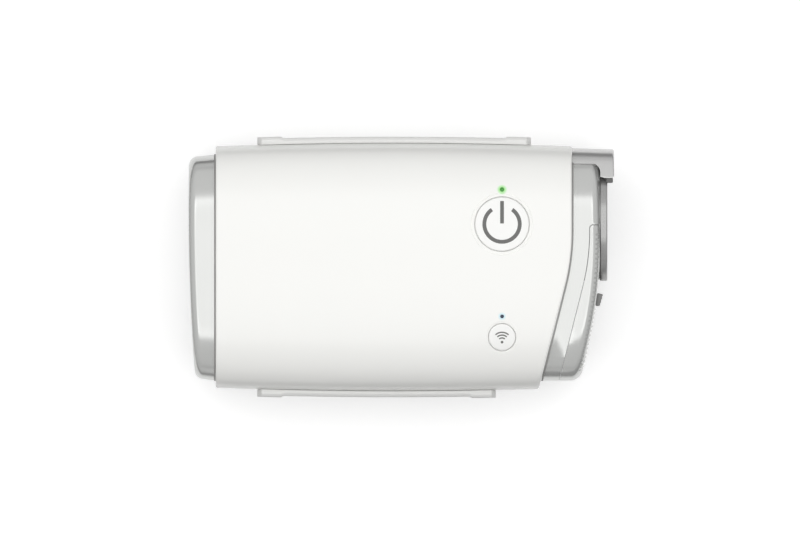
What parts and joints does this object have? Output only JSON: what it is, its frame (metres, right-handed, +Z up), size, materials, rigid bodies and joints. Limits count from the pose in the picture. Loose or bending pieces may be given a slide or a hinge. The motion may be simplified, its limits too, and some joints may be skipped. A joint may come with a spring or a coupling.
{
  "type": "travel cpap machine",
  "caption": "Small barrel-shaped travel CPAP machine with silver ends, a hooded air outlet, side rails and press buttons.",
  "frame": {"origin": "under the middle of the machine's box, on the surface its feet stand on", "axes": "+X along the machine towards the air outlet, +Y towards the rear, +Z up"},
  "size_m": [0.1362, 0.0838, 0.052],
  "materials": {
    "white_shell": "smooth satin-gloss white ABS",
    "silver_paint": "fine silver paint on plastic, satin",
    "grey_hood": "satin grey plastic",
    "outlet_grey": "satin dark grey plastic",
    "seal_rubber": "matte silicone",
    "tab_grey": "matte dark grey plastic",
    "filter_felt": "white filter felt",
    "rail_grey": "matte light grey plastic",
    "foot_rubber": "matte grey rubber",
    "button_white": "smooth white plastic",
    "lamp_green": "clear green light pipe",
    "lamp_blue": "clear blue light pipe",
    "black_plastic": "matte black plastic",
    "contact_brass": "bright brass contact",
    "chassis_alloy": "satin aluminium sheet",
    "screw_steel": "bright zinc-plated steel",
    "mount_silicone": "soft grey silicone",
    "blower_white": "matte off-white plastic",
    "shaft_steel": "ground steel",
    "magnet_grey": "sintered magnet",
    "core_steel": "laminated steel",
    "copper_wire": "enamelled copper winding",
    "can_alloy": "satin aluminium",
    "bearing_steel": "ground bearing steel",
    "duct_silicone": "translucent silicone",
    "foam_grey": "open-cell foam",
    "board_green": "green solder mask",
    "chip_black": "moulded black package",
    "capacitor_can": "sleeved aluminium can",
    "module_shield": "tinned steel shield",
    "connector_ivory": "ivory nylon",
    "lamp_chip": "small lamp package",
    "cable_red": "PVC cable jacket",
    "cable_black": "PVC cable jacket"
  },
  "bodies": {
    "machine": {"top_cover": "white_shell", "bottom_cover": "white_shell", "left_end_cap": "silver_paint", "end_frame": "silver_paint", "outlet_hood": "grey_hood", "outlet_ring": "outlet_grey", "outlet_seal": "seal_rubber", "rear_rail": "rail_grey", "front_rail": "rail_grey", "rubber_feet": "foot_rubber", "start_switch": "module_shield", "wireless_switch": "module_shield", "start_lamp": "lamp_green", "wireless_lamp": "lamp_blue", "power_jack": "black_plastic", "jack_pins": "contact_brass", "chassis": "chassis_alloy", "chassis_screws": "screw_steel", "blower_mounts": "mount_silicone", "scroll_base": "blower_white", "scroll_lid": "blower_white", "stator_core": "core_steel", "stator_coils": "copper_wire", "motor_can": "can_alloy", "lower_bearing": "bearing_steel", "upper_bearing": "bearing_steel", "inlet_gasket": "mount_silicone", "inlet_duct": "blower_white", "inlet_foam": "foam_grey", "inlet_seal": "mount_silicone", "outlet_duct": "duct_silicone", "circuit_board": "board_green", "processor": "chip_black", "power_chip": "chip_black", "capacitors": "capacitor_can", "inductor": "chip_black", "wireless_module": "module_shield", "pressure_sensor": "chip_black", "board_connectors": "connector_ivory", "lamp_chips": "lamp_chip", "board_screws": "screw_steel", "motor_cable": "cable_red", "power_cable": "cable_black", "case_screws": "screw_steel"},
    "start_button": {"start_button": "button_white", "start_plunger": "black_plastic"},
    "wireless_button": {"wireless_button": "button_white", "wireless_plunger": "black_plastic"},
    "filter_cover": {"filter_cover": "silver_paint", "filter_tab": "tab_grey", "filter_pad": "filter_felt"},
    "rotor": {"impeller": "blower_white", "rotor_shaft": "shaft_steel", "rotor_magnet": "magnet_grey"}
  },
  "joints": [
    {"name": "start_press", "type": "slide", "parent": "machine", "child": "start_button", "axis": [0, 0, -1], "range_m": [0, 0.0005], "stiffness_N_per_m": 1500},
    {"name": "wireless_press", "type": "slide", "parent": "machine", "child": "wireless_button", "axis": [0, 0, -1], "range_m": [0, 0.0005], "stiffness_N_per_m": 1500},
    {"name": "filter_pull", "type": "slide", "parent": "machine", "child": "filter_cover", "axis": [1, 0, 0], "range_m": [0, 0.025]},
    {"name": "rotor_spin", "type": "hinge", "parent": "machine", "child": "rotor", "pos_m": [-0.016, -0.0035, 0.0268], "axis": [0, 0, 1], "continuous": true}
  ]
}
